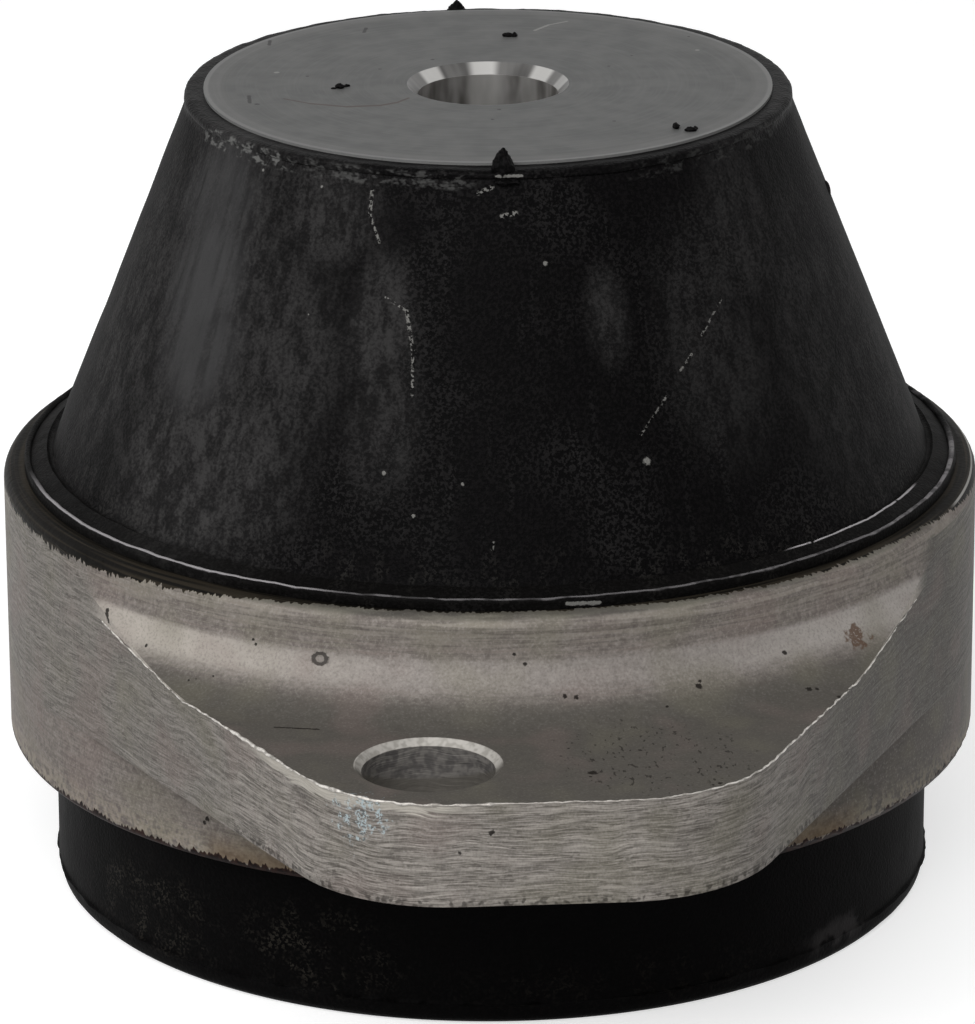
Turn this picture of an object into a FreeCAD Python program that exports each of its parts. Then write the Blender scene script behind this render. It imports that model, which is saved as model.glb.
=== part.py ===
"""Conical rubber-to-metal engine mount.

A tapered metal core is bonded into a rubber cone, and the cone is bonded into the funnel of a flange
housing with two bolt lugs. A rubber rebound ring under the housing carries the mount when it stands
free. Millimetres. Z is the axis of the mount, z = 0 is the face it stands on, and the lugs point
along +Y and -Y.
"""

import FreeCAD
import Part
import math
import os

from FreeCAD import Vector

# Heights
overall_height = 109.0  # standing face to core face
ring_height = 21.0  # rebound ring
spigot_height = 11.7  # housing below the lugs
lug_thickness = 13.3
collar_height = 12.0  # housing above the lugs
core_recess = 1.5  # core foot above the standing face

# Flange housing
housing_d = 130.0
rim_wall = 11.0  # between the funnel's mouth and the outside
rim_edge_r = 1.8
base_edge_r = 1.2
funnel_deg = 20.0  # half angle of the bonded seat
cove_r = 9.8  # hollow fillet from the collar into the lug faces

# Lugs and their bolt holes
bolt_hole_d = 16.5
bolt_hole_chamfer = 0.8
bolt_seat_margin = 0.2  # flat between the chamfer and the cove
bolt_turn_deg = 9.0  # each hole lies this far round from the lug's centre line
lug_end_margin = 13.6  # hole centre to the flat end of the lug
lug_flank_deg = 27.5  # flank to the lug's centre line
lug_corner_r = 21.0

# Core
core_face_d = 74.7
core_land = 3.0  # straight band under the face
core_taper_deg = 12.0
core_tube_d = 44.0
core_foot_chamfer = 0.8
core_bore_d = 18.5
core_bore_chamfer = 1.4

# Rubber spring
skin_drop = 0.35  # skin below the core face
skin_width = 2.4  # skin round the core face
shoulder_height = 1.4
shoulder_flare = 0.25
shoulder_r = 0.9
parting_step = 0.35  # step under the shoulder
rim_land = 2.8  # rim left bare outside the lip
lip_width = 0.9
lip_height = 1.5
foot_band = 4.0  # from the outside of the lip in to the cone
foot_rise = 2.2  # foot of the cone above the rim
foot_drop = 1.2  # fall of the foot band towards the lip
foot_groove = 0.5
recess_depth = 5.0  # hollow in the underside, beside the core tube
gate_d = 3.4  # stubs of the moulding gates on the shoulder
gate_tip_d = 1.2
near_gate_height = 2.7  # above the core face
far_gate_height = 0.7
near_gate_deg = -91.0  # round the axis from +X
far_gate_deg = 92.5

# Rebound ring
ring_step = 6.0  # ring set in from the spigot
ring_bore_gap = 8.0  # between the core tube and the ring
ring_edge_r = 2.0
ring_bore_chamfer = 1.5

touching = 1e-4  # points closer than this are one

# Derived heights
housing_base_z = ring_height
lug_under_z = housing_base_z + spigot_height
lug_top_z = lug_under_z + lug_thickness
rim_z = lug_top_z + collar_height
core_face_z = overall_height

# Derived radii
housing_r = housing_d / 2
funnel_mouth_r = housing_r - rim_wall
funnel_base_r = funnel_mouth_r - (rim_z - housing_base_z) * math.tan(math.radians(funnel_deg))
core_face_r = core_face_d / 2
core_tube_r = core_tube_d / 2
ring_r = housing_r - ring_step
ring_bore_r = core_tube_r + ring_bore_gap

# Derived places on the lugs
bolt_circle_r = housing_r + cove_r + bolt_hole_d / 2 + bolt_hole_chamfer + bolt_seat_margin
bolt_x = bolt_circle_r * math.sin(math.radians(bolt_turn_deg))
bolt_y = bolt_circle_r * math.cos(math.radians(bolt_turn_deg))
lug_reach = bolt_y + lug_end_margin


def corner_arc(before, corner, after, radius, room):
    """Start, middle and end of the arc that rounds a corner and stays within the room beside it."""
    towards_before = (before - corner).normalize()
    towards_after = (after - corner).normalize()
    half_angle = towards_before.getAngle(towards_after) / 2
    setback = min(radius / math.tan(half_angle), room)
    depth = setback / math.cos(half_angle) - setback * math.tan(half_angle)
    inward = (towards_before + towards_after).normalize()
    return corner + towards_before * setback, corner + inward * depth, corner + towards_after * setback


def closed_wire(corners):
    """Closed wire through corners (point, rounding radius), where radius 0 leaves a corner sharp."""
    stops = []
    for index, (point, radius) in enumerate(corners):
        before, before_radius = corners[index - 1]
        after, after_radius = corners[(index + 1) % len(corners)]
        room_before = point.distanceToPoint(before) / (2 if before_radius else 1)
        room_after = point.distanceToPoint(after) / (2 if after_radius else 1)
        if radius:
            stops.append(corner_arc(before, point, after, radius, min(room_before, room_after)))
        else:
            stops.append((point, None, point))
    edges = []
    for index, (start, middle, end) in enumerate(stops):
        next_start = stops[(index + 1) % len(stops)][0]
        if middle:
            edges.append(Part.Arc(start, middle, end).toShape())
        if end.distanceToPoint(next_start) > touching:
            edges.append(Part.makeLine(end, next_start))
    return Part.Wire(edges)


def turned(*corners):
    """Solid of revolution about Z, from corners (r, z) or (r, z, rounding radius)."""
    profile = [(Vector(r, 0, z), rounding[0] if rounding else 0) for r, z, *rounding in corners]
    return Part.Face(closed_wire(profile)).revolve(Vector(0, 0, 0), Vector(0, 0, 1), 360)


def through_drill(radius, chamfer, low_z, high_z):
    """Drill body on the Z axis for a through hole with a chamfer at both faces."""
    return turned(
        (0, low_z - chamfer),
        (radius + 2 * chamfer, low_z - chamfer),
        (radius, low_z + chamfer),
        (radius, high_z - chamfer),
        (radius + 2 * chamfer, high_z + chamfer),
        (0, high_z + chamfer),
    )


def core_blank():
    """The core before its bore is drilled: foot, tube, taper and face land."""
    land_z = core_face_z - core_land
    taper_height = (core_face_r - core_tube_r) / math.tan(math.radians(core_taper_deg))
    return turned(
        (0, core_recess),
        (core_tube_r - core_foot_chamfer, core_recess),
        (core_tube_r, core_recess + core_foot_chamfer),
        (core_tube_r, land_z - taper_height),
        (core_face_r, land_z),
        (core_face_r, core_face_z),
        (0, core_face_z),
    )


def core_insert():
    bore = through_drill(core_bore_d / 2, core_bore_chamfer, core_recess, core_face_z)
    return core_blank().cut(bore)


def gate_stub(angle_deg, height):
    """Torn stub of a moulding gate, standing on the shoulder beside the core face."""
    stub = Part.makeCone(gate_d / 2, gate_tip_d / 2, shoulder_height + height)
    stub.translate(Vector(core_face_r + gate_d / 2, 0, core_face_z - shoulder_height))
    stub.rotate(Vector(0, 0, 0), Vector(0, 0, 1), angle_deg)
    return stub


def rubber_spring():
    """The moulded cone: skin and shoulder round the core, straight side, foot band and rim lip."""
    skin_z = core_face_z - skin_drop
    shoulder_z = core_face_z - shoulder_height
    shoulder_top_r = core_face_r + skin_width
    shoulder_foot_r = shoulder_top_r + shoulder_flare
    lip_r = housing_r - rim_land
    lip_in_r = lip_r - lip_width
    cone_foot_r = lip_r - foot_band
    foot_z = rim_z + foot_rise
    recess_z = housing_base_z + recess_depth
    cone = turned(
        (0, housing_base_z),
        (core_tube_r, housing_base_z),
        (core_tube_r, recess_z),
        (ring_bore_r, recess_z),
        (ring_bore_r, housing_base_z),
        (funnel_base_r, housing_base_z),
        (funnel_mouth_r, rim_z),
        (lip_r, rim_z),
        (lip_r, rim_z + lip_height),
        (lip_in_r, rim_z + lip_height),
        (lip_in_r, foot_z - foot_drop),
        (cone_foot_r + 2 * foot_groove, foot_z),
        (cone_foot_r + foot_groove / 2, foot_z - foot_groove),
        (cone_foot_r, foot_z),
        (shoulder_foot_r - parting_step, shoulder_z),
        (shoulder_foot_r, shoulder_z),
        (shoulder_top_r, skin_z, shoulder_r),
        (0, skin_z),
    )
    stubs = [gate_stub(near_gate_deg, near_gate_height), gate_stub(far_gate_deg, far_gate_height)]
    return cone.fuse(stubs).cut(core_blank())


def lug_outline():
    """Outline of the lug along +Y, from the axis to flanks that are tangent to the round housing."""
    flank = math.radians(lug_flank_deg)
    tangent_x = housing_r * math.cos(flank)
    tangent_y = housing_r * math.sin(flank)
    end_x = tangent_x - (lug_reach - tangent_y) * math.tan(flank)
    return closed_wire(
        [
            (Vector(0, 0, 0), 0),
            (Vector(tangent_x, tangent_y, 0), 0),
            (Vector(end_x, lug_reach, 0), lug_corner_r),
            (Vector(-end_x, lug_reach, 0), lug_corner_r),
            (Vector(-tangent_x, tangent_y, 0), 0),
        ]
    )


def lug():
    """The lug along +Y: a turned flange with its cove, trimmed to the lug outline and drilled."""
    inside_r = housing_r - rim_wall / 2
    outside_r = lug_reach + lug_corner_r
    flange = turned(
        (inside_r, lug_under_z),
        (outside_r, lug_under_z),
        (outside_r, lug_top_z),
        (housing_r, lug_top_z, cove_r),
        (housing_r, rim_z - rim_edge_r),
        (inside_r, rim_z - rim_edge_r),
    )
    prism = Part.Face(lug_outline()).extrude(Vector(0, 0, rim_z))
    drill = through_drill(bolt_hole_d / 2, bolt_hole_chamfer, lug_under_z, lug_top_z)
    drill.translate(Vector(bolt_x, bolt_y, 0))
    return flange.common(prism).cut(drill)


def flange_housing():
    """Turned body with its funnel, and the lug twice, half a turn apart."""
    body = turned(
        (funnel_base_r, housing_base_z),
        (housing_r, housing_base_z, base_edge_r),
        (housing_r, rim_z, rim_edge_r),
        (funnel_mouth_r, rim_z),
    )
    far_lug = lug()
    near_lug = far_lug.copy()
    near_lug.rotate(Vector(0, 0, 0), Vector(0, 0, 1), 180)
    return body.fuse([far_lug, near_lug]).removeSplitter()


def rebound_ring():
    return turned(
        (ring_bore_r + ring_bore_chamfer, 0),
        (ring_r, 0, ring_edge_r),
        (ring_r, housing_base_z),
        (ring_bore_r, housing_base_z),
        (ring_bore_r, ring_bore_chamfer),
    )


def write_parts():
    os.makedirs("parts", exist_ok=True)
    nodes = {
        "core_insert": core_insert(),
        "rubber_spring": rubber_spring(),
        "flange_housing": flange_housing(),
        "rebound_ring": rebound_ring(),
    }
    for name, shape in nodes.items():
        shape.exportStep(f"parts/{name}.step")
        print(name, "valid", shape.isValid(), "solids", len(shape.Solids), "volume", round(shape.Volume))


write_parts()
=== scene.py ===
"""Looks of the conical engine mount: rubber, aluminium, film, burrs and dirt, with camera and light.

Lengths are in metres, as the frame's are. Sections, marks and patterns are given in millimetres.
"Around" is the angle in degrees from the near lug's side, which is -Y, positive towards +X.
"""

import bpy
import math
from mathutils import Matrix, Vector


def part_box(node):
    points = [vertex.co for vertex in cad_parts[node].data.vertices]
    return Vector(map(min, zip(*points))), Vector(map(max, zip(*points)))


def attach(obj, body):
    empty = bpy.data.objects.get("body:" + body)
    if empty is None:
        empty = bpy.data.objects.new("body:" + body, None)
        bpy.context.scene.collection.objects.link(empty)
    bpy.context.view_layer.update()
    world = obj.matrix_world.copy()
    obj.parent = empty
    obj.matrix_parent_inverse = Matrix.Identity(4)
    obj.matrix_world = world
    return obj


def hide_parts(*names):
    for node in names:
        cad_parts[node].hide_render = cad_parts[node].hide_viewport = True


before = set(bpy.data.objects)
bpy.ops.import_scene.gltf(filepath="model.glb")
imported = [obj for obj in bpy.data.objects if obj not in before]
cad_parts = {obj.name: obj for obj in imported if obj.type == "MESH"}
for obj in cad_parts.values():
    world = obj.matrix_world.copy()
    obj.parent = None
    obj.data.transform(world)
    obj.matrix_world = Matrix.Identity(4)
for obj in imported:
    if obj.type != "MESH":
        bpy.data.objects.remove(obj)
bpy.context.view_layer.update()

MM = 0.001
CORE_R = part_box("core_insert")[1].x / MM
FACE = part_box("core_insert")[1].z / MM  # top of the core
LIP_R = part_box("rubber_spring")[1].x / MM
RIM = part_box("flange_housing")[1].z / MM  # rim of the housing
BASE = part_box("flange_housing")[0].z / MM  # underside of the housing
LUG_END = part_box("flange_housing")[1].y / MM
RING_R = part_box("rebound_ring")[1].x / MM
LUG_TOP = 46.0
HOUSING_R = 65.0
HOLE_X = 13.15  # centre of the bolt hole in the +Y lug; the other is half a turn round
HOLE_Y = 83.02
CHAMFER_R = 10.65  # outer radius of the bore's chamfer
CHAMFER_Z = 107.6  # height where the bore's chamfer starts
CONE_TOP_R = 39.65  # top of the rubber cone's straight side
CONE_TOP = 107.6
CONE_SLOPE = 0.3914  # growth of the cone's radius for each millimetre down


# ---------------------------------------------------------------- shader values


class Value:
    """A shader value: arithmetic on it adds the Math nodes that work it out."""

    def __init__(self, graph, socket):
        self.graph = graph
        self.socket = socket

    def math(self, operation, *others, clamp=False):
        inputs = dict(enumerate((self, *others)))
        return self.graph.node("ShaderNodeMath", {"operation": operation, "use_clamp": clamp}, inputs)

    def __add__(self, other):
        return self.math("ADD", other)

    def __sub__(self, other):
        return self.math("SUBTRACT", other)

    def __mul__(self, other):
        return self.math("MULTIPLY", other)

    def __truediv__(self, other):
        return self.math("DIVIDE", other)

    def __rsub__(self, other):
        return (self * -1) + other

    __radd__ = __add__
    __rmul__ = __mul__

    def ramp(self, low, high):
        """0 below low, 1 above high and smooth between; low above high turns it over."""
        inputs = {"Value": self, "From Min": low, "From Max": high}
        return self.graph.node("ShaderNodeMapRange", {"interpolation_type": "SMOOTHSTEP"}, inputs)

    def band(self, low, high, soft):
        """1 between low and high, 0 outside, with soft borders."""
        return self.ramp(low - soft, low) * self.ramp(high + soft, high)


class Graph:
    """The nodes of one material."""

    def __init__(self, name):
        self.material = bpy.data.materials.new(name)
        self.material.use_nodes = True
        self.nodes = self.material.node_tree.nodes
        self.links = self.material.node_tree.links
        self.surface = self.nodes["Principled BSDF"]
        self.place = self.vector("SCALE", self.node("ShaderNodeTexCoord", output="Object"), Scale=1 / MM)
        apart = self.node("ShaderNodeSeparateXYZ", inputs={"Vector": self.place}, output=None)
        self.x, self.y, self.z = (Value(self, apart.outputs[axis]) for axis in "XYZ")
        self.radius = (self.x * self.x + self.y * self.y).math("SQRT")
        self.around = self.x.math("ARCTAN2", self.y * -1) * (180 / math.pi)
        self.unrolled = self.node("ShaderNodeCombineXYZ", inputs={"X": self.around, "Y": self.z})

    def node(self, kind, settings=None, inputs=None, output=0):
        """Adds a node, sets it, feeds it, and gives one of its outputs, or the node for output None."""
        node = self.nodes.new(kind)
        for key, setting in (settings or {}).items():
            setattr(node, key, setting)
        for key, source in (inputs or {}).items():
            self.feed(node.inputs[key], source)
        return node if output is None else Value(self, node.outputs[output])

    def feed(self, socket, source):
        if isinstance(source, Value):
            self.links.new(source.socket, socket)
        else:
            socket.default_value = source

    def vector(self, operation, *sources, output="Vector", **named):
        inputs = {**dict(enumerate(sources)), **named}
        return self.node("ShaderNodeVectorMath", {"operation": operation}, inputs, output)

    def facing_up(self):
        """Upward part of the normal."""
        normal = self.node("ShaderNodeNewGeometry", output="Normal")
        return self.node("ShaderNodeSeparateXYZ", inputs={"Vector": normal}, output="Z")

    def stretched(self, across, up):
        """Object place with X and Y scaled by one factor and Z by another."""
        return self.vector("MULTIPLY", self.place, (across, across, up))

    def rolled(self, round_scale, other, other_scale):
        """Place on a surface of revolution: once round at a scale, and another value at its own."""
        turn = self.vector("NORMALIZE", self.vector("MULTIPLY", self.place, (1, 1, 0)))
        flat = self.vector("SCALE", turn, Scale=round_scale)
        lift = self.node("ShaderNodeCombineXYZ", inputs={"Z": other * other_scale})
        return self.vector("ADD", flat, lift)

    def noise(self, place, scale, detail, rough=0.55):
        inputs = {"Vector": place, "Scale": scale, "Detail": detail, "Roughness": rough}
        return self.node("ShaderNodeTexNoise", inputs=inputs, output="Fac")

    def specks(self, scale, rarity, seed=0.0):
        """1 inside small specks that are scattered through space, 0 elsewhere."""
        place = self.vector("ADD", self.place, (seed, seed, seed))
        return self.noise(place, scale, 0).ramp(rarity, rarity + 0.03)

    def mix(self, factor, first, second):
        inputs = {"Factor": factor, 6: first, 7: second}
        return self.node("ShaderNodeMix", {"data_type": "RGBA"}, inputs, output=2)

    def bump(self, height, depth):
        """Normal with relief: height from 0 to 1, depth in millimetres."""
        return self.node("ShaderNodeBump", inputs={"Height": height, "Distance": depth * MM, "Strength": 1.0})

    def away(self, x, y, z, size):
        """Distance from a point, in steps of a size."""
        return self.vector("DISTANCE", self.place, (x, y, z), output="Value") / size

    def spot(self, x, y, z, size, wobble=0.0):
        """Small patch about a point."""
        return (self.away(x, y, z, size) + wobble).ramp(1.0, 0.6)

    def along_line(self, start, end, width):
        """Distance from a straight line between two points, in steps of a width."""
        run = Vector(end) - Vector(start)
        step = run / run.length_squared
        share = self.vector("DOT_PRODUCT", self.place, step, output="Value")
        share = share.math("SUBTRACT", step.dot(Vector(start)), clamp=True)
        nearest = self.vector("MULTIPLY_ADD", share, run, start)
        return self.vector("DISTANCE", self.place, nearest, output="Value") / width

    def patch(self, around, height, wide, high):
        """Soft oval patch on a surface of revolution."""
        flat = self.vector("MULTIPLY", self.unrolled, (1 / wide, 1 / high, 0))
        middle = (around / wide, height / high, 0)
        return self.vector("DISTANCE", flat, middle, output="Value").ramp(1.0, 0.33)

    def finish(self, **sockets):
        for name, source in sockets.items():
            self.feed(self.surface.inputs[name.replace("_", " ")], source)
        return self.material


def largest(values):
    total = values[0]
    for value in values[1:]:
        total = total.math("MAXIMUM", value)
    return total


def marks(distances, wobble=0.0):
    """1 inside the nearest of many small marks, whose distances are in steps of their size."""
    nearest = distances[0]
    for distance in distances[1:]:
        nearest = nearest.math("MINIMUM", distance)
    return (nearest + wobble).ramp(1.0, 0.55)


def on_side(around, height, radius):
    """Point (x, y, z) at an angle from the near side, at a height and radius."""
    turn = math.radians(around)
    return radius * math.sin(turn), -radius * math.cos(turn), height


def cone_point(around, height):
    """Point on the straight side of the rubber cone."""
    return on_side(around, height, CONE_TOP_R + (CONE_TOP - height) * CONE_SLOPE)


# ---------------------------------------------------------------- aluminium

PITS = (  # x, y, z, size
    (*on_side(-44.3, 49.5, 67.3), 0.3),
    (*on_side(-30.9, 52.9, 65.5), 0.26),
    (*on_side(-30.5, 52.4, 65.5), 0.3),
    (*on_side(-31.2, 52.2, 65.5), 0.22),
    (*on_side(-36.9, 47.5, 69.6), 0.2),
    (*on_side(-36.2, 47.8, 69.3), 0.16),
    (*on_side(-34.4, 48.3, 68.5), 0.18),
    (*on_side(-1.2, 53.4, 65.3), 0.28),
    (*on_side(0.0, 52.2, 65.7), 0.32),
    (*on_side(4.0, 48.6, 68.1), 0.34),
    (*on_side(5.2, 48.5, 68.3), 0.38),
    (*on_side(14.4, 47.0, 70.5), 0.26),
    (*on_side(18.6, 48.3, 68.5), 0.5),
    (*on_side(18.9, 48.8, 68.1), 0.3),
    (*on_side(29.9, 49.9, 67.0), 0.4),
    (36.0, -62.2, 46.4, 0.55),
    (37.1, -62.0, 46.4, 0.34),
    (39.7, -64.0, LUG_TOP, 0.45),
    (*on_side(-37.7, 26.9, HOUSING_R), 0.4),
    (*on_side(-38.1, 26.3, HOUSING_R), 0.36),
    (-6.3, -LUG_END, 42.3, 0.48),
    (-10.2, -LUG_END, 39.8, 0.3),
    (6.7, -87.3, LUG_TOP, 0.8),
    (6.3, -88.6, LUG_TOP, 0.26),
    (13.1, -80.3, LUG_TOP, 0.34),
    (4.4, -79.0, LUG_TOP, 0.24),
    (17.9, -74.5, LUG_TOP, 0.28),
    (21.8, -91.9, LUG_TOP, 0.4),
    (20.9, -92.4, LUG_TOP, 0.26),
)
FLANK_DEG = 27.5  # between a lug's flank and its centre line


def shear_line(along):
    """Height where the torn part of a flank ends, at a distance along the flank from the round housing."""
    return 52.0 - along * 0.19


def torn_sides(g, upright, ragged):
    """1 on the torn sides of the lugs and on the wall between them, and 1 on the sheared strip above."""
    turn = math.radians(FLANK_DEG)
    side, ahead = g.x.math("ABSOLUTE"), g.y.math("ABSOLUTE")
    flank = (side * math.cos(turn) + ahead * math.sin(turn)).ramp(HOUSING_R - 0.5, HOUSING_R - 0.1)
    along = ahead * math.cos(turn) - side * math.sin(turn)
    line = shear_line(along).math("MAXIMUM", LUG_TOP + 0.1)
    strip = flank * (g.z + ragged - line).ramp(-0.1, 0.2) * along.ramp(7, 14) * upright
    torn = largest([flank, ahead.ramp(32, 30), g.radius.ramp(75.4, 76)]) * (1 - strip)
    return upright * torn * g.z.ramp(32.0, 33.2), strip


def rim_film(g, ragged):
    """Bonding film round the rim: narrow at the lugs, lower at the sides, with a ragged lower border."""
    left = g.around.ramp(-12, -60) * 4.2
    right = g.around.ramp(8, 38) * 1.3 + g.around.ramp(52, 82) * 2.9
    down = g.radius - LIP_R - g.z + RIM
    return (left + right + 0.5 + ragged - down).ramp(-0.06, 0.1), down


def foot_film(g, ragged):
    """Dark red border at the bottom of the housing."""
    return (g.z + ragged - BASE).ramp(1.25, 1.05)


def housing_aluminium():
    g = Graph("housing_aluminium")
    g.surface.inputs["Specular IOR Level"].default_value = 0.05
    facing = g.facing_up()
    level = facing.ramp(0.66, 0.92)
    upright = facing.math("ABSOLUTE").ramp(0.3, 0.1)
    cove = facing.ramp(0.26, 0.36) * facing.ramp(0.82, 0.56) * g.z.band(45.9, 55.6, 0.3)

    # torn bark on the sides
    warp = g.noise(g.place, 0.17, 0) * 3.0
    lift = g.node("ShaderNodeCombineXYZ", inputs={"Z": warp})
    bark = g.noise(g.vector("ADD", g.stretched(0.1, 1.5), lift), 1.0, 2, 0.7)
    fibre = g.noise(g.vector("ADD", g.stretched(0.3, 4.6), lift), 1.0, 1, 0.7)
    torn_wall, strip = torn_sides(g, upright, bark * 1.6 - 0.8)

    grain = g.noise(g.place, 3.0, 1, 0.7)
    cast = g.noise(g.place, 1.0, 1, 0.75)
    mottle = g.noise(g.place, 0.1, 1, 0.6)
    drawn = g.noise(g.rolled(5, g.z, 1.7), 1.0, 1, 0.8)
    fringe = g.noise(g.rolled(110, g.z, 0.35), 1.0, 1, 0.65)
    tongue = g.noise(g.rolled(14, g.z, 0.1), 1.0, 1, 0.6)
    ragged = fringe * 2.2 + tongue * 1.6 - 1.9

    raw = (cast * 0.4 + drawn * 0.6).ramp(0.36, 0.66)
    metal = g.mix(raw, (0.115, 0.1, 0.091, 1), (0.214, 0.191, 0.174, 1))
    metal = g.mix(drawn.ramp(0.54, 0.7) * 0.45, metal, (0.115, 0.09, 0.08, 1))
    metal = g.mix(drawn.ramp(0.44, 0.34) * 0.3, metal, (0.27, 0.248, 0.212, 1))
    streaked = (bark * 0.4 + fibre * 0.6).ramp(0.3, 0.68)
    quiet = g.around.math("ABSOLUTE").math("PINGPONG", 90.0).ramp(20, 36) * 0.45
    streaked = g.mix(streaked, (0.09, 0.081, 0.072, 1), (0.305, 0.281, 0.255, 1))
    streaked = g.mix(quiet, streaked, (0.113, 0.106, 0.096, 1))
    crack = (bark - 0.5).math("ABSOLUTE").ramp(0.035, 0.005) * cast.ramp(0.42, 0.58)
    streaked = g.mix(crack * 0.55, streaked, (0.04, 0.035, 0.03, 1))
    metal = g.mix(torn_wall, metal, streaked)
    # painted shade: the torn lug walls and the low wall on the right-hand side take a darker colour
    shaded = g.around.band(36, 120, 30) * torn_wall.math("MAXIMUM", upright * g.z.ramp(34, 33))
    metal = g.mix(shaded * 0.7, metal, (0.062, 0.058, 0.053, 1))
    # the sheared strip on the flanks: pale torn metal, with a painted highlight that makes it as light as the
    # cove beside it
    metal = g.mix(strip * 0.8, metal, g.mix(cast, (0.3, 0.275, 0.24, 1), (0.52, 0.485, 0.44, 1)))
    # painted highlight: the cove, which looks half up, is paler than the walls, and paler still on the left
    # and right sides
    hollow = g.mix(cast, (0.165, 0.149, 0.138, 1), (0.29, 0.266, 0.247, 1))
    hollow = g.mix(g.around.band(-120, -46, 36) * 0.75, hollow, (0.46, 0.425, 0.375, 1))
    hollow = g.mix(g.around.band(40, 120, 28) * 0.7, hollow, (0.4, 0.375, 0.35, 1))
    metal = g.mix(cove * 0.75, metal, hollow)
    # painted shade: faces that look up, such as the lug tops, take this darker colour instead of the walls'
    # colour
    skin = g.mix(cast, (0.075, 0.069, 0.061, 1), (0.108, 0.1, 0.088, 1))
    metal = g.mix(level, metal, skin)
    metal = g.mix(mottle.ramp(0.5, 0.72) * 0.35, metal, (0.15, 0.14, 0.105, 1))
    metal = g.mix(mottle.ramp(0.48, 0.3) * 0.3, metal, (0.17, 0.13, 0.12, 1))
    metal = g.mix(grain.ramp(0.52, 0.3) * 0.24, metal, (0.06, 0.053, 0.047, 1))
    metal = g.mix(grain.ramp(0.54, 0.75) * (0.24 - level * 0.12), metal, (0.34, 0.32, 0.3, 1))
    # painted shade: faces that look down take a darker, even colour
    metal = g.mix(facing.ramp(-0.5, -0.8) * 0.6, metal, (0.11, 0.1, 0.088, 1))
    flash = (g.x * g.y).ramp(500, 1300) * g.radius.ramp(79, 86) * torn_wall
    flash = flash * (g.z + bark * 2.4).ramp(45.7, 46.1)
    metal = g.mix(flash * 0.7, metal, (0.42, 0.395, 0.35, 1))

    # bolt holes: pale chamfer on the side towards the housing, and a grey wall there near the top; lower down
    # and on the outer side the wall takes the lug tops' painted-shade colour
    for side in (1, -1):
        flat = g.vector("MULTIPLY", g.place, (1, 1, 0))
        away = g.vector("DISTANCE", flat, (side * HOLE_X, side * HOLE_Y, 0), output="Value")
        inward = HOLE_Y - g.y * side
        inside = away.ramp(8.6, 8.4) * g.z.ramp(45.3, 45.1)
        mouth = away.ramp(9.25, 9.1) * g.z.ramp(45.1, 45.25)
        wall = g.mix(cast.ramp(0.35, 0.65), (0.082, 0.077, 0.074, 1), (0.142, 0.133, 0.124, 1))
        wall = g.mix((g.z + inward * 0.52).ramp(44.9, 45.5), skin, wall)
        pale = g.mix(cast.ramp(0.35, 0.6), (0.3, 0.285, 0.26, 1), (0.42, 0.4, 0.37, 1))
        metal = g.mix(inside, metal, wall)
        metal = g.mix(mouth, metal, g.mix(inward.ramp(-2.0, 1.5), skin, pale))

    # marks
    soft = (grain - 0.5) * 1.1
    pits = [g.away(*pit) for pit in PITS]
    pits.append(g.along_line(on_side(-51.8, 51.7, 66.0), on_side(-51.0, 50.1, 66.7), 0.42))
    pits.append(g.along_line((-31.4, -69.0, LUG_TOP), (-26.1, -70.1, LUG_TOP), 0.24))
    ring = g.vector("SUBTRACT", g.place, on_side(-22.7, 51.8, 65.8))
    ring = g.vector("MULTIPLY", ring, (0.9, 0.9, 1.25))
    ring = g.vector("LENGTH", ring, output="Value") + (grain - 0.5) * 0.35
    bites = torn_wall * g.radius.ramp(77, 81) * g.z.ramp(34.2, 33.1) * cast.ramp(0.48, 0.6)
    dots = g.noise(g.vector("MULTIPLY", g.place, (1.9, 0.75, 1.9)), 1.0, 1).ramp(0.63, 0.7)
    field = g.spot(15, -83, LUG_TOP, 14.0, cast - 0.5) * level * dots * 0.75
    far_pits = g.specks(0.6, 0.8, 9.7) * g.y.ramp(10, 30)
    dark = [marks(pits, soft), ring.band(0.62, 0.95, 0.22) * 0.85, ring.ramp(0.7, 0.5) * 0.25]
    dark = largest([*dark, field, bites * 0.7, far_pits])
    metal = g.mix(dark * 0.92, metal, (0.009, 0.007, 0.006, 1))
    stain = g.spot(*on_side(39.9, 49.3, 67.3), 1.9, (cast - 0.5) * 2.2) * grain.ramp(0.8, 0.5)
    metal = g.mix(stain * 0.85, metal, (0.085, 0.05, 0.032, 1))
    frost = g.spot(-23.8, -95.6, 43.9, 4.4, (cast - 0.5) * 2.4)
    metal = g.mix(frost * grain.ramp(0.47, 0.55), metal, (0.33, 0.39, 0.41, 1))
    metal = g.mix(frost * grain.ramp(0.46, 0.38) * 0.7, metal, (0.075, 0.105, 0.12, 1))
    low = g.z.ramp(26.5, 22.0) * g.z.ramp(20.8, 21.4) * upright
    metal = g.mix(low * cast.ramp(0.35, 0.6) * 0.3, metal, (0.34, 0.3, 0.22, 1))
    rusty = [g.around.band(-36, -27, 3), g.around.band(24, 40, 5), g.around.band(150, 170, 9)]
    rust = low * largest(rusty)
    metal = g.mix(rust * mottle.ramp(0.35, 0.6) * 0.6, metal, (0.1, 0.06, 0.028, 1))

    film, down = rim_film(g, ragged)
    below = film.ramp(0.02, 0.0) * down.band(0, 9, 2) * g.z.ramp(53.5, 55.5)
    metal = g.mix(below * drawn.ramp(0.42, 0.6) * 0.2, metal, (0.3, 0.285, 0.235, 1))
    rings = g.noise(g.rolled(2.5, down, 1.7), 1.0, 1, 0.6)
    coat = g.mix(rings.ramp(0.42, 0.66), (0.003, 0.0026, 0.002, 1), (0.019, 0.0155, 0.011, 1))
    coat = g.mix(film.ramp(0.98, 0.6) * 0.8, coat, (0.04, 0.034, 0.012, 1))
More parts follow.
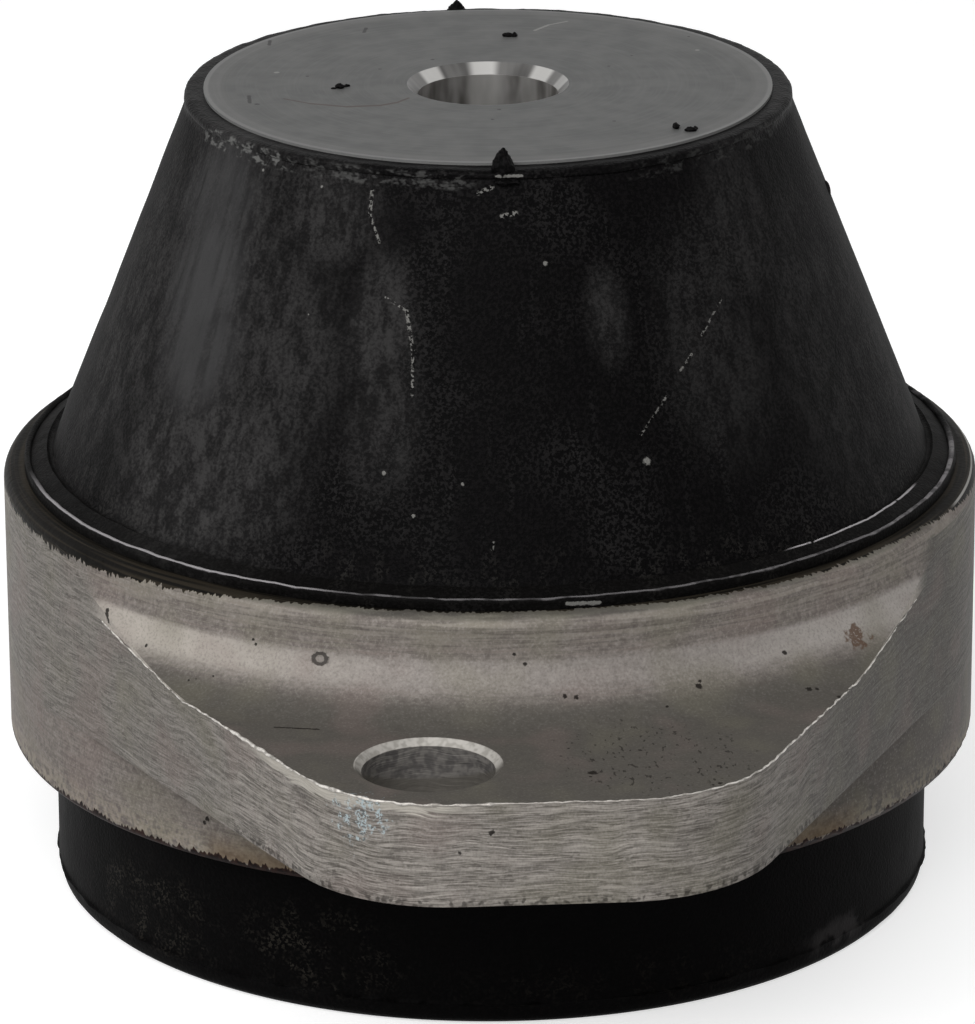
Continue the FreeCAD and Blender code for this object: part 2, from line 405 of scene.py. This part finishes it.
    # painted highlight: a pale streak along the rim's edge on the right, over the film
    coat = g.mix(g.around.band(69, 96, 4) * down.band(2.5, 2.8, 0.14) * 0.8, coat, (0.4, 0.39, 0.37, 1))
    colour = g.mix(film, metal, coat)
    foot = foot_film(g, ragged)
    red = g.mix(cast.ramp(0.4, 0.6), (0.006, 0.003, 0.0028, 1), (0.02, 0.01, 0.008, 1))
    colour = g.mix(foot, colour, red)
    film = film.math("MAXIMUM", foot)

    relief = bark * torn_wall + cast * 0.2
    return g.finish(
        Base_Color=colour,
        Metallic=0.25 * (1 - film) * (1 - dark),
        Roughness=0.5 + cast * 0.12 + level * 0.1 - film * 0.05,
        Normal=g.bump(relief, 0.3),
    )


def burr_metal():
    """Fresh torn aluminium."""
    g = Graph("burr_metal")
    grain = g.noise(g.place, 0.8, 3, 0.7)
    colour = g.mix(grain.ramp(0.35, 0.6), (0.25, 0.235, 0.21, 1), (0.62, 0.59, 0.55, 1))
    dull = g.x.math("ABSOLUTE").ramp(24, 12) * 0.6
    colour = g.mix(dull, colour, (0.2, 0.18, 0.16, 1))
    return g.finish(Base_Color=colour, Metallic=0.5, Roughness=0.35 + grain * 0.2, Normal=g.bump(grain, 0.1))


def core_metal():
    g = Graph("core_metal")
    g.surface.inputs["Specular IOR Level"].default_value = 0.3
    turned = g.noise(g.rolled(2.5, g.radius, 2.6), 1.0, 1, 0.6)
    mottle = g.noise(g.place, 0.22, 2, 0.6)
    grain = g.noise(g.place, 3.0, 1, 0.7)
    band = g.radius.ramp(34.4, 34.9)
    edge = g.radius.ramp(36.6, 36.9)
    bright = g.radius.ramp(CHAMFER_R + 0.05, CHAMFER_R - 0.05)

    face = g.mix(mottle.ramp(0.3, 0.7), (0.066, 0.067, 0.066, 1), (0.09, 0.09, 0.088, 1))
    face = g.mix(turned.ramp(0.45, 0.7) * 0.2, face, (0.125, 0.125, 0.122, 1))
    face = g.mix(band * 0.35, face, (0.13, 0.128, 0.125, 1))
    face = g.mix(g.radius.band(34.6, 35.0, 0.3) * 0.4, face, (0.07, 0.07, 0.068, 1))
    face = g.mix(edge * 0.5, face, (0.19, 0.19, 0.187, 1))
    face = g.mix((grain - 0.5).math("ABSOLUTE").ramp(0.1, 0.3) * 0.3, face, (0.07, 0.07, 0.07, 1))

    soft = (grain - 0.5) * 1.0
    flecks = [
        g.along_line((-31.5, -7.0, FACE), (-31.5, -3.6, FACE), 0.32),
        g.along_line((-28.0, 21.4, FACE), (-27.8, 23.6, FACE), 0.3),
        g.along_line((-15.0, 26.8, FACE), (-14.6, 29.0, FACE), 0.3),
        g.away(-30.6, -7.7, FACE, 0.42),
        g.away(16.5, 7.0, FACE, 0.3),
        g.away(15.0, -19.5, FACE, 0.3),
        g.away(-23.5, 5.3, FACE, 0.3),
        g.away(-13.8, 8.0, FACE, 0.3),
        g.away(-6.6, 12.2, FACE, 0.32),
        g.away(0.6, -12.8, FACE, 0.34),
        g.away(-0.6, -17.4, FACE, 0.3),
        g.away(28.5, 21.0, FACE, 0.26),
        g.away(20.0, 12.0, FACE, 0.24),
    ]
    face = g.mix(marks(flecks, soft) * 0.85, face, (0.01, 0.009, 0.009, 1))
    brown = [
        g.along_line((-27.0, -5.4, FACE), (-23.7, -8.0, FACE), 0.22),
        g.along_line((-23.7, -8.0, FACE), (-19.0, -9.9, FACE), 0.34),
        g.along_line((-19.0, -9.9, FACE), (-14.6, -9.6, FACE), 0.4),
        g.along_line((-14.6, -9.6, FACE), (-12.4, -8.4, FACE), 0.36),
        g.along_line((-12.4, -8.4, FACE), (-10.8, -6.4, FACE), 0.26),
    ]
    face = g.mix(marks(brown) * 0.7, face, (0.035, 0.018, 0.012, 1))
    pale = [
        g.along_line((8.1, 25.9, FACE), (10.2, 28.6, FACE), 0.3),
        g.along_line((10.2, 28.6, FACE), (12.8, 30.2, FACE), 0.22),
        g.away(-27.5, 7.5, FACE, 0.5),
        g.away(29.0, 14.0, FACE, 0.4),
    ]
    face = g.mix(marks(pale, soft * 0.3) * 0.45, face, (0.3, 0.3, 0.28, 1))

    streak = g.noise(g.rolled(3.4, g.z, 0.12), 1.0, 2, 0.6)
    back = g.around.math("ABSOLUTE")
    # painted highlights: pale streaks in the bore at set angles round it
    painted_highlight = [back.ramp(162, 172) * 0.8, g.around.band(134, 146, 6) * 0.6, g.around.band(-40, 30, 10) * 0.5]
    bore = g.mix(streak.ramp(0.3, 0.72), (0.13, 0.123, 0.115, 1), (0.36, 0.35, 0.34, 1))
    bore = g.mix(largest(painted_highlight) * 0.7, bore, (0.6, 0.59, 0.57, 1))
    chamfer = g.z.ramp(CHAMFER_Z - 0.05, CHAMFER_Z + 0.05)
    # painted glints: pale patches on the bore's chamfer at set angles round it
    glint = [g.around.band(-142, -128, 6), back.ramp(166, 174), g.around.band(124, 137, 6)]
    glint.append(g.around.band(96, 106, 5) * 0.6)
    glint.append(g.around.band(-24, 40, 12) * 0.5)
    lip = g.mix(streak.ramp(0.35, 0.65), (0.07, 0.068, 0.066, 1), (0.14, 0.137, 0.133, 1))
    lip = g.mix(largest(glint) * 0.62, lip, (0.66, 0.65, 0.63, 1))
    bore = g.mix(chamfer, bore, lip)
    colour = g.mix(bright, face, bore)
    return g.finish(
        Base_Color=colour,
        Metallic=0.2 + bright * 0.5,
        Roughness=0.62 - bright * 0.28,
        Normal=g.bump(turned, 0.02),
    )


# ---------------------------------------------------------------- rubber


def rubber(name, gloss):
    """Black rubber with a fine grain; gives its graph, colour and grain."""
    g = Graph(name)
    g.surface.inputs["Specular IOR Level"].default_value = gloss
    grain = g.noise(g.place, 2.2, 1, 0.75)
    colour = g.mix(grain.ramp(0.38, 0.68), (0.0011, 0.001, 0.0011, 1), (0.0036, 0.0032, 0.0034, 1))
    return g, colour, grain


SCRATCHES = (  # start and end as (around, height), width
    ((-25.0, 105.8), (-24.8, 102.7), 0.34),
    ((-24.8, 102.7), (-22.5, 99.6), 0.28),
    ((-20.4, 93.2), (-16.8, 91.8), 0.24),
    ((-16.8, 91.8), (-15.4, 87.2), 0.34),
    ((-15.4, 87.2), (-15.0, 81.8), 0.26),
    ((35.5, 90.3), (30.5, 86.8), 0.28),
    ((28.0, 84.8), (25.6, 83.2), 0.28),
    ((22.5, 80.4), (17.7, 76.4), 0.28),
    ((-5.6, 105.9), (-3.1, 106.6), 0.4),
    ((-1.4, 103.2), (1.0, 103.5), 0.42),
    ((-3.5, 64.2), (-3.3, 65.0), 0.28),
)
NICKS = (  # around, height, size
    (18.1, 73.3, 0.6),
    (-18.2, 72.7, 0.34),
    (-7.4, 71.8, 0.26),
    (-13.8, 67.9, 0.3),
    (-33.1, 90.1, 0.16),
    (-35.0, 105.2, 0.24),
    (-48.9, 105.6, 0.24),
    (5.6, 97.5, 0.36),
)


def spring_rubber():
    g, colour, grain = rubber("spring_rubber", 0.025)
    cloud = g.noise(g.place, 0.07, 1, 0.6)
    blotch = g.noise(g.rolled(24, g.z, 0.24), 1.0, 2, 0.75)
    run = g.noise(g.rolled(34, g.z, 0.06), 1.0, 1, 0.6)
    fine = grain.ramp(0.46, 0.6)
    smooth = [
        g.patch(-59, 101, 14, 10) * 0.7,
        g.patch(-56, 91, 12, 12),
        g.patch(-53, 83, 11, 10) * 0.85,
    ]
    mottled = [
        g.patch(-58, 92, 30, 32) * 0.75,
        g.patch(-48, 70, 24, 18),
        g.patch(-74, 84, 20, 30) * 0.8,
        g.patch(-40, 84, 20, 22) * 0.7,
        g.patch(-21, 90, 8, 12) * 0.8,
        g.patch(-19, 79, 8, 12) * 0.6,
        g.patch(-33, 102, 15, 9) * 0.7,
        g.patch(15, 91, 5, 8) * 0.5,
        g.patch(45, 98, 14, 14) * 0.5,
        g.patch(58, 82, 20, 30) * 0.55,
        g.patch(78, 78, 18, 32) * 0.7,
        g.patch(33, 86, 14, 20) * 0.4,
        g.patch(150, 86, 28, 24) * 0.6,
        g.patch(-130, 80, 26, 28) * 0.7,
    ]
    smooth = largest(smooth)
    mottled = largest(mottled) * (0.62 + blotch.ramp(0.36, 0.6) * 0.38)
    dusty = (blotch * 0.5 + grain * 0.5).ramp(0.38, 0.68)
    dusty = g.mix(dusty, (0.0165, 0.016, 0.016, 1), (0.045, 0.0437, 0.0433, 1))
    colour = g.mix(mottled * 0.85, colour, dusty)
    colour = g.mix(smooth * (0.5 + run.ramp(0.3, 0.6) * 0.35), colour, (0.047, 0.0466, 0.0474, 1))
    bloom = smooth.math("MAXIMUM", mottled)
    haze = (cloud.ramp(0.42, 0.7) * 0.3 + run.ramp(0.55, 0.8) * 0.25) * fine
    colour = g.mix(haze, colour, (0.024, 0.023, 0.023, 1))

    # dust along the foot of the cone, and painted shade over the foot band and the groove at the foot
    foot = g.z.ramp(66, 60.5) * blotch.ramp(0.45, 0.7) * fine
    colour = g.mix(foot * 0.3, colour, (0.035, 0.033, 0.03, 1))
    # painted shade: the foot band and its groove are darkened
    band = g.z.ramp(61, 60.2) * g.radius.ramp(58.2, 58.6)
    colour = g.mix(band * 0.6, colour, (0.0022, 0.002, 0.0018, 1))

    lines = [g.along_line(cone_point(*start), cone_point(*end), width) for start, end, width in SCRATCHES]
    points = [g.away(*cone_point(around, height), size) for around, height, size in NICKS]
    points.append(g.along_line(on_side(-2.4, 108.0, 40.05), on_side(2.3, 108.0, 40.05), 0.24))
    points.append(g.along_line(on_side(5.1, 58.7, LIP_R), on_side(8.9, 58.5, LIP_R), 0.32))
    soft = (grain - 0.5) * 1.1
    far_specks = g.specks(0.55, 0.85, 4.4) * g.y.ramp(5, 25) * 0.6
    worn = [marks(lines, soft) * fine, marks(points, soft), far_specks]
    colour = g.mix(largest(worn) * 0.55, colour, (0.26, 0.255, 0.24, 1))

    # scuffs where the shoulder was trimmed
    torn = g.noise(g.rolled(24, g.z, 1.1), 1.0, 2, 0.7)
    shoulder = g.z.band(106.4, 108.2, 0.4)
    worn_arc = [g.around.band(-66, -47, 8), g.around.band(-44, -10, 6) * 0.4]
    worn_arc.append(g.around.band(30, 60, 12) * 0.2)
    worn_arc.append(g.around.band(120, 165, 20) * 0.4)
    scuff = shoulder * largest(worn_arc) * torn.ramp(0.48, 0.66)
    colour = g.mix(scuff * 0.6, colour, (0.16, 0.16, 0.155, 1))

    # painted highlight along the crest of the rim lip, brightest on the left and broken elsewhere, and a
    # second line beside it on the right
    crest = g.radius.band(LIP_R - 0.78, LIP_R - 0.22, 0.12) * g.z.band(59.2, 60.2, 0.1)
    broken = torn.ramp(0.4, 0.58)
    lip_painted_highlight = [g.around.band(-70, -30, 14) * 0.85, g.around.band(-36, 46, 6) * (0.12 + broken * 0.22)]
    lip_painted_highlight.append(g.around.band(50, 84, 8) * (0.2 + broken * 0.35))
    lip_painted_highlight.append(g.around.band(110, 170, 10) * broken * 0.5)
    second = g.radius.band(59.0, 59.35, 0.12) * g.z.ramp(59.7, 59.9)
    second = second * g.around.band(38, 64, 3) * torn.ramp(0.3, 0.42)
    painted_highlight = largest([crest * largest(lip_painted_highlight), second])
    colour = g.mix(painted_highlight * 0.85, colour, (0.42, 0.4, 0.41, 1))

    rough = 0.58 - g.z.ramp(106.4, 107.2) * 0.14 + bloom * 0.1 - painted_highlight * 0.2
    return g.finish(Base_Color=colour, Roughness=rough, Normal=g.bump(grain, 0.1))


def ring_rubber():
    g, colour, grain = rubber("ring_rubber", 0.02)
    colour = g.mix(0.6, colour, (0.0006, 0.0005, 0.0005, 1))
    blotch = g.noise(g.rolled(18, g.z, 0.3), 1.0, 2, 0.7)
    dust = [
        g.patch(-54, 8, 18, 9) * 0.45,
        g.patch(-26, 9, 14, 8) * 0.5,
        g.patch(14, 5, 30, 5) * 0.15,
        g.patch(140, 10, 30, 9) * 0.45,
        g.patch(-120, 9, 24, 9) * 0.4,
    ]
    dust = largest(dust) * blotch.ramp(0.4, 0.7) * grain.ramp(0.5, 0.62)
    colour = g.mix(dust, colour, (0.04, 0.036, 0.03, 1))
    worn = g.patch(47, 3.6, 9, 3.2) * blotch.ramp(0.42, 0.6)
    colour = g.mix(worn * 0.5, colour, (0.045, 0.042, 0.042, 1))
    colour = g.mix(g.specks(0.6, 0.82, 7.7) * g.y.ramp(5, 25) * 0.6, colour, (0.16, 0.15, 0.135, 1))
    return g.finish(Base_Color=colour, Roughness=0.62 - blotch * 0.08, Normal=g.bump(grain, 0.08))


# ---------------------------------------------------------------- modelling


def select_points(piece, wanted):
    """Leaves the piece in edit mode with only the points selected whose place passes."""
    bpy.ops.object.mode_set(mode="EDIT")
    bpy.ops.mesh.select_mode(type="VERT")
    bpy.ops.mesh.select_all(action="DESELECT")
    bpy.ops.object.mode_set(mode="OBJECT")
    for point in piece.data.vertices:
        point.select = wanted(point.co / MM)
    bpy.ops.object.mode_set(mode="EDIT")


def turned_ring(name, section, sides):
    """Closed ring of revolution, drawn loop by loop through a section of (radius, height, steps)."""
    bpy.ops.object.select_all(action="DESELECT")
    radius, height, _ = section[0]
    bpy.ops.mesh.primitive_circle_add(vertices=sides, radius=radius * MM)
    piece = bpy.context.object
    piece.name = name
    bpy.ops.object.mode_set(mode="EDIT")
    bpy.ops.transform.translate(value=(0, 0, height * MM))
    for next_radius, next_height, steps in section[1:]:
        lift = (next_height - height) / steps
        widen = (next_radius - radius) / steps
        for _ in range(steps):
            grow = (radius + widen) / radius
            bpy.ops.mesh.extrude_region_move(TRANSFORM_OT_translate={"value": (0, 0, lift * MM)})
            bpy.ops.transform.resize(value=(grow, grow, 1), center_override=(0, 0, 0))
            radius += widen
        height = next_height
    bpy.ops.mesh.select_all(action="DESELECT")
    bpy.ops.mesh.select_mode(type="EDGE")
    bpy.ops.mesh.select_non_manifold()
    bpy.ops.mesh.bridge_edge_loops()
    bpy.ops.mesh.select_all(action="SELECT")
    bpy.ops.mesh.normals_make_consistent(inside=False)
    bpy.ops.object.mode_set(mode="OBJECT")
    return piece


def zone(piece, name, weight):
    """Vertex group whose weights come from each point's radius and height."""
    group = piece.vertex_groups.new(name=name)
    for point in piece.data.vertices:
        place = point.co / MM
        share = weight(math.hypot(place.x, place.y), place.z)
        if share > 0:
            group.add([point.index], share, "REPLACE")


def roughen(piece, grain, depth, group="", direction="NORMAL"):
    """Pushes the surface in and out by a cloud pattern, and applies it."""
    clouds = bpy.data.textures.new(f"{piece.name}_clouds", "CLOUDS")
    clouds.noise_scale = grain * MM
    clouds.noise_depth = 3
    clouds.cloud_type = "COLOR" if direction == "RGB_TO_XYZ" else "GRAYSCALE"
    uneven = piece.modifiers.new("uneven", "DISPLACE")
    uneven.texture = clouds
    uneven.strength = depth * MM
    uneven.mid_level = 0.5
    uneven.direction = direction
    uneven.vertex_group = group
    apply_modifiers(piece)
    bpy.data.textures.remove(clouds)


def apply_modifiers(piece):
    bpy.context.view_layer.objects.active = piece
    for modifier in list(piece.modifiers):
        bpy.ops.object.modifier_apply(modifier=modifier.name)


def settle(piece, finish, sharp_deg=40):
    """Smooths a finished piece, gives it its finish and lets it ride on the mount."""
    bpy.ops.object.select_all(action="DESELECT")
    piece.select_set(True)
    bpy.context.view_layer.objects.active = piece
    bpy.ops.object.shade_smooth_by_angle(angle=math.radians(sharp_deg))
    piece.data.materials.clear()
    piece.data.materials.append(finish)
    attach(piece, "root")
    piece.select_set(False)


SPRING_SECTION = (  # radius, height, steps
    (22.0, 26.0, 1),
    (30.0, 26.0, 3),  # hollow beside the core tube
    (30.0, 21.0, 2),
    (40.5, 21.0, 3),
    (54.0, 58.0, 4),  # bonded in the funnel
    (LIP_R, 58.0, 3),
    (LIP_R, 59.1, 3),
    (LIP_R - 0.12, 59.4, 1),
    (LIP_R - 0.4, 59.52, 1),  # crest of the lip
    (LIP_R - 0.72, 59.42, 1),
    (LIP_R - 0.9, 59.05, 1),
    (60.0, 59.75, 3),  # foot band
    (59.2, 60.1, 2),
    (58.75, 59.75, 2),  # groove at the foot of the cone
    (58.45, 59.75, 1),
    (58.2, 60.2, 2),
    (CONE_TOP_R, CONE_TOP, 62),  # straight side
    (39.95, 107.62, 1),
    (40.02, 107.85, 1),  # shoulder
    (39.95, 108.25, 2),
    (39.6, 108.55, 2),
    (39.1, 108.66, 2),
    (CORE_R, 108.65, 5),
    (CORE_R, 106.0, 2),
    (22.0, 33.8, 4),  # bonded to the core
)


def spring_skin(finish):
    """The moulded rubber cone with its shoulder, foot band and rim lip, slightly uneven all over."""
    skin = turned_ring("spring_skin", SPRING_SECTION, 400)
    zone(skin, "side", lambda r, z: min(1, (z - 60.6) / 4) if z > 60.6 and r > 39.7 else 0)
    zone(skin, "shoulder", lambda r, z: 1.0 if z > 106.3 and r > 38.0 else 0)
    zone(skin, "rim", lambda r, z: 1.0 if 58.1 < z < 61.5 and r > 57.5 else 0)
    roughen(skin, 22, 0.55, "side")
    roughen(skin, 6.0, 0.3, "shoulder")
    roughen(skin, 1.1, 0.14, "shoulder")
    roughen(skin, 5.0, 0.35, "rim")
    roughen(skin, 1.2, 0.18, "rim")
    settle(skin, finish, 50)
    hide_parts("rubber_spring")


RING_SECTION = (
    (31.5, 0.0, 1),
    (44.0, 0.0, 4),
    (57.1, 0.0, 4),
    (58.0, 0.3, 2),
    (58.7, 1.0, 2),
    (58.95, 2.0, 2),
    (58.98, 2.9, 1),
    (59.22, 3.05, 1),  # flash line of the mould
    (59.0, 3.25, 1),
    (RING_R, 21.0, 24),
    (30.0, 21.0, 6),
    (30.0, 1.5, 5),
)


def ring_skin(finish):
    """The rubber rebound ring, slightly uneven, with the flash line of its mould."""
    ring = turned_ring("ring_skin", RING_SECTION, 384)
    zone(ring, "side", lambda r, z: 1.0 if 0.5 < z < 20.5 and r > 50 else 0)
    zone(ring, "flash", lambda r, z: 1.0 if 2.95 < z < 3.15 and r > 50 else 0)
    roughen(ring, 18, 0.4, "side")
    roughen(ring, 4, 0.8, "flash")
    settle(ring, finish, 50)
    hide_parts("rebound_ring")


def lump(name, place, half_size, taper, grain, depth, finish, tris=4):
    """Torn lump: a ball pressed to size, narrowed towards its top, and roughened."""
    bpy.ops.object.select_all(action="DESELECT")
    bpy.ops.mesh.primitive_ico_sphere_add(subdivisions=tris, radius=MM)
    piece = bpy.context.object
    piece.name = name
    bpy.ops.object.mode_set(mode="EDIT")
    bpy.ops.transform.resize(value=half_size, center_override=(0, 0, 0))
    for share in (0.0, 0.3, 0.55, 0.8):
        limit = share * half_size[2]
        select_points(piece, lambda point: point.z > limit)
        bpy.ops.transform.resize(value=(taper, taper, 1), center_override=(0, 0, 0))
    bpy.ops.mesh.select_all(action="SELECT")
    bpy.ops.transform.translate(value=tuple(length * MM for length in place))
    bpy.ops.object.mode_set(mode="OBJECT")
    roughen(piece, grain, depth)
    roughen(piece, grain * 0.35, depth * 0.4)
    settle(piece, finish, 60)


def gate_stubs(finish):
    """Torn stubs of the moulding gates, on both sides of the core face."""
    lump("near_gate_stub", (-0.68, -39.0, 109.1), (1.45, 1.3, 2.3), 0.86, 1.2, 0.9, finish)
    lump("far_gate_stub", (-1.7, 39.0, 108.6), (1.4, 1.3, 1.5), 0.8, 1.5, 0.4, finish)
    lump("near_gate_flap", (-0.3, -40.3, 107.3), (1.6, 0.6, 0.35), 1.0, 0.9, 0.5, finish)


CRUMBS = (  # x, y, half length, half width, half height
    (4.2, 23.1, 0.75, 0.5, 0.35),
    (5.1, 23.0, 0.5, 0.45, 0.3),
    (-19.5, -0.9, 0.7, 0.5, 0.4),
    (-18.6, -0.2, 0.45, 0.25, 0.2),
    (-20.3, -1.1, 0.5, 0.2, 0.15),
    (22.6, -23.3, 0.5, 0.8, 0.4),
    (24.3, -25.0, 0.8, 0.45, 0.35),
    (25.0, -24.2, 0.4, 0.3, 0.25),
)


def face_crumbs(finish):
    """Crumbs of rubber left on the core face."""
    for number, (x, y, long, wide, high) in enumerate(CRUMBS, 1):
        place = (x, y, FACE + high * 0.7)
        lump(f"crumb_{number}", place, (long, wide, high), 0.9, 0.6, 0.35, finish, 3)


def flank_nub(finish):
    """Vent nub on the cone's flank."""
    x, y, z = cone_point(86, 93.7)
    lump("flank_nub", (x * 0.985, y, z), (0.8, 1.4, 1.8), 0.97, 2.4, 0.25, finish)


def on_lug_edge(place):
    """Whether a point of the housing lies on a lug's upper edge, clear of its bolt hole and its root."""
    hole = min(math.hypot(place.x - side * HOLE_X, place.y - side * HOLE_Y) for side in (1, -1))
    outside = math.hypot(place.x, place.y) > HOUSING_R + 0.02
    return LUG_TOP - 0.05 < place.z < 51.8 and outside and hole > 10


def lug_burr(finish):
    """Thin torn burr along the upper outer edges of both lugs."""
    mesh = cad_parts["flange_housing"].data.copy()
    burr = bpy.data.objects.new("lug_burr", mesh)
    bpy.context.collection.objects.link(burr)
    bpy.ops.object.select_all(action="DESELECT")
    burr.select_set(True)
    bpy.context.view_layer.objects.active = burr
    bpy.ops.object.mode_set(mode="EDIT")
    bpy.ops.mesh.select_mode(type="EDGE")
    bpy.ops.mesh.select_all(action="SELECT")
    bpy.ops.mesh.remove_doubles(threshold=1e-6)
    bpy.ops.mesh.select_all(action="DESELECT")
    bpy.ops.object.mode_set(mode="OBJECT")
    points = mesh.vertices
    facing = {}
    for face in mesh.polygons:
        for key in face.edge_keys:
            facing.setdefault(key, []).append(face.normal.z)
    for edge in mesh.edges:
        low, high = min(facing[edge.key], key=abs), max(facing[edge.key])
        ends = [points[index].co / MM for index in edge.vertices]
        edge.select = abs(low) < 0.05 and high > 0.15 and all(on_lug_edge(end) for end in ends)
    bpy.ops.object.mode_set(mode="EDIT")
    bpy.ops.mesh.duplicate()
    bpy.ops.mesh.select_all(action="INVERT")
    bpy.ops.mesh.delete(type="VERT")
    bpy.ops.object.mode_set(mode="OBJECT")
    for _ in range(7):
        for edge in mesh.edges:
            edge.select = (points[edge.vertices[0]].co - points[edge.vertices[1]].co).length > 0.5 * MM
        bpy.ops.object.mode_set(mode="EDIT")
        bpy.ops.mesh.subdivide(number_cuts=1)
        bpy.ops.object.mode_set(mode="OBJECT")
    turn = math.radians(FLANK_DEG)
    for point in points:
        side, ahead = abs(point.co.x) / MM, abs(point.co.y) / MM
        line = shear_line(ahead * math.cos(turn) - side * math.sin(turn))
        point.co.z = min(point.co.z, max(line, LUG_TOP) * MM)
    roughen(burr, 1.8, 0.45, direction="RGB_TO_XYZ")
    bpy.ops.object.convert(target="CURVE")
    for spline in burr.data.splines:
        for point in spline.points:
            x, y, z, _ = point.co / MM
            thick = 1.1 if x * y > 600 and math.hypot(x, y) > 78 else 0
            point.radius = 0.9 + thick * (0.5 + 0.5 * math.sin(x * 1.9 + y * 0.7))
    burr.data.bevel_depth = 0.11 * MM
    burr.data.bevel_resolution = 2
    burr.data.use_fill_caps = True
    bpy.ops.object.convert(target="MESH")
    burr = bpy.context.object
    roughen(burr, 1.4, 0.22)
    settle(burr, finish, 60)


# ---------------------------------------------------------------- stage


def stand_on_floor():
    bpy.ops.object.select_all(action="DESELECT")
    bpy.ops.mesh.primitive_plane_add(size=6)
    floor = bpy.context.object
    floor.name = "floor"
    g = Graph("floor_white")
    path = g.node("ShaderNodeLightPath", output=None)
    seen = Value(g, path.outputs["Is Camera Ray"])
    for ray in ("Is Glossy Ray", "Is Transmission Ray"):
        seen = seen.math("MAXIMUM", Value(g, path.outputs[ray]))
    g.surface.inputs["Emission Strength"].default_value = 1.0
    lift = g.mix(seen, (0, 0, 0, 1), (0.6, 0.6, 0.6, 1))
    finish = g.finish(Base_Color=(0.62, 0.62, 0.62, 1), Roughness=0.9, Emission_Color=lift)
    floor.data.materials.append(finish)


def soft_box(name, place, aim, wide, high, power):
    bpy.ops.object.light_add(type="AREA", location=place)
    lamp = bpy.context.object
    lamp.name = name
    lamp.data.shape = "RECTANGLE"
    lamp.data.size = wide
    lamp.data.size_y = high
    lamp.data.energy = power
    lamp.rotation_euler = (Vector(aim) - Vector(place)).to_track_quat("-Z", "Y").to_euler()


def light():
    middle = (0, 0, 0.06)
    soft_box("key", (-0.45, -1.05, 0.95), middle, 1.4, 0.6, 19)
    soft_box("left", (-1.2, 0.1, 0.5), middle, 0.6, 0.6, 2)
    soft_box("right", (1.2, 0.4, 0.5), middle, 0.6, 0.6, 0.5)
    world = bpy.data.worlds.new("studio")
    bpy.context.scene.world = world
    world.use_nodes = True
    nodes, links = world.node_tree.nodes, world.node_tree.links
    path = nodes.new("ShaderNodeLightPath")
    seen = None
    for ray in ("Is Camera Ray", "Is Glossy Ray", "Is Transmission Ray"):
        either = nodes.new("ShaderNodeMath")
        either.operation = "MAXIMUM"
        links.new(path.outputs[ray], either.inputs[0])
        if seen:
            links.new(seen.outputs[0], either.inputs[1])
        else:
            either.inputs[1].default_value = 0
        seen = either
    strength = nodes.new("ShaderNodeMapRange")
    strength.inputs["To Min"].default_value = 0.3
    strength.inputs["To Max"].default_value = 1.0
    links.new(seen.outputs[0], strength.inputs["Value"])
    links.new(strength.outputs[0], nodes["Background"].inputs["Strength"])
    nodes["Background"].inputs["Color"].default_value = (1, 1, 1, 1)


def set_camera():
    """Camera a little to the left of the near lug's side, at 0.88 m, looking down by 19.4 degrees."""
    yaw, tilt, roll = math.radians(-3.75), math.radians(90 - 19.39), math.radians(-0.28)
    away, height = 0.817, 0.3366
    bpy.ops.object.camera_add()
    camera = bpy.context.object
    turn = Matrix.Rotation(yaw, 4, "Z")
    place = Matrix.Translation(turn @ Vector((0, -away, height)))
    camera.matrix_world = place @ turn @ Matrix.Rotation(tilt, 4, "X") @ Matrix.Rotation(roll, 4, "Z")
    camera.data.lens = 226.5
    camera.data.shift_x = -0.0025
    camera.data.shift_y = 0.0015
    bpy.context.scene.camera = camera


# ---------------------------------------------------------------- scene

spring_finish = spring_rubber()
ring_finish = ring_rubber()
FINISHES = {
    "core_insert": core_metal(),
    "rubber_spring": spring_finish,
    "flange_housing": housing_aluminium(),
    "rebound_ring": ring_finish,
}
for node, finish in FINISHES.items():
    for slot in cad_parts[node].material_slots:
        slot.material = finish

spring_skin(spring_finish)
ring_skin(ring_finish)
gate_stubs(spring_finish)
flank_nub(spring_finish)
face_crumbs(spring_finish)
lug_burr(burr_metal())

stand_on_floor()
light()
set_camera()
bpy.context.scene.view_settings.view_transform = "Standard"
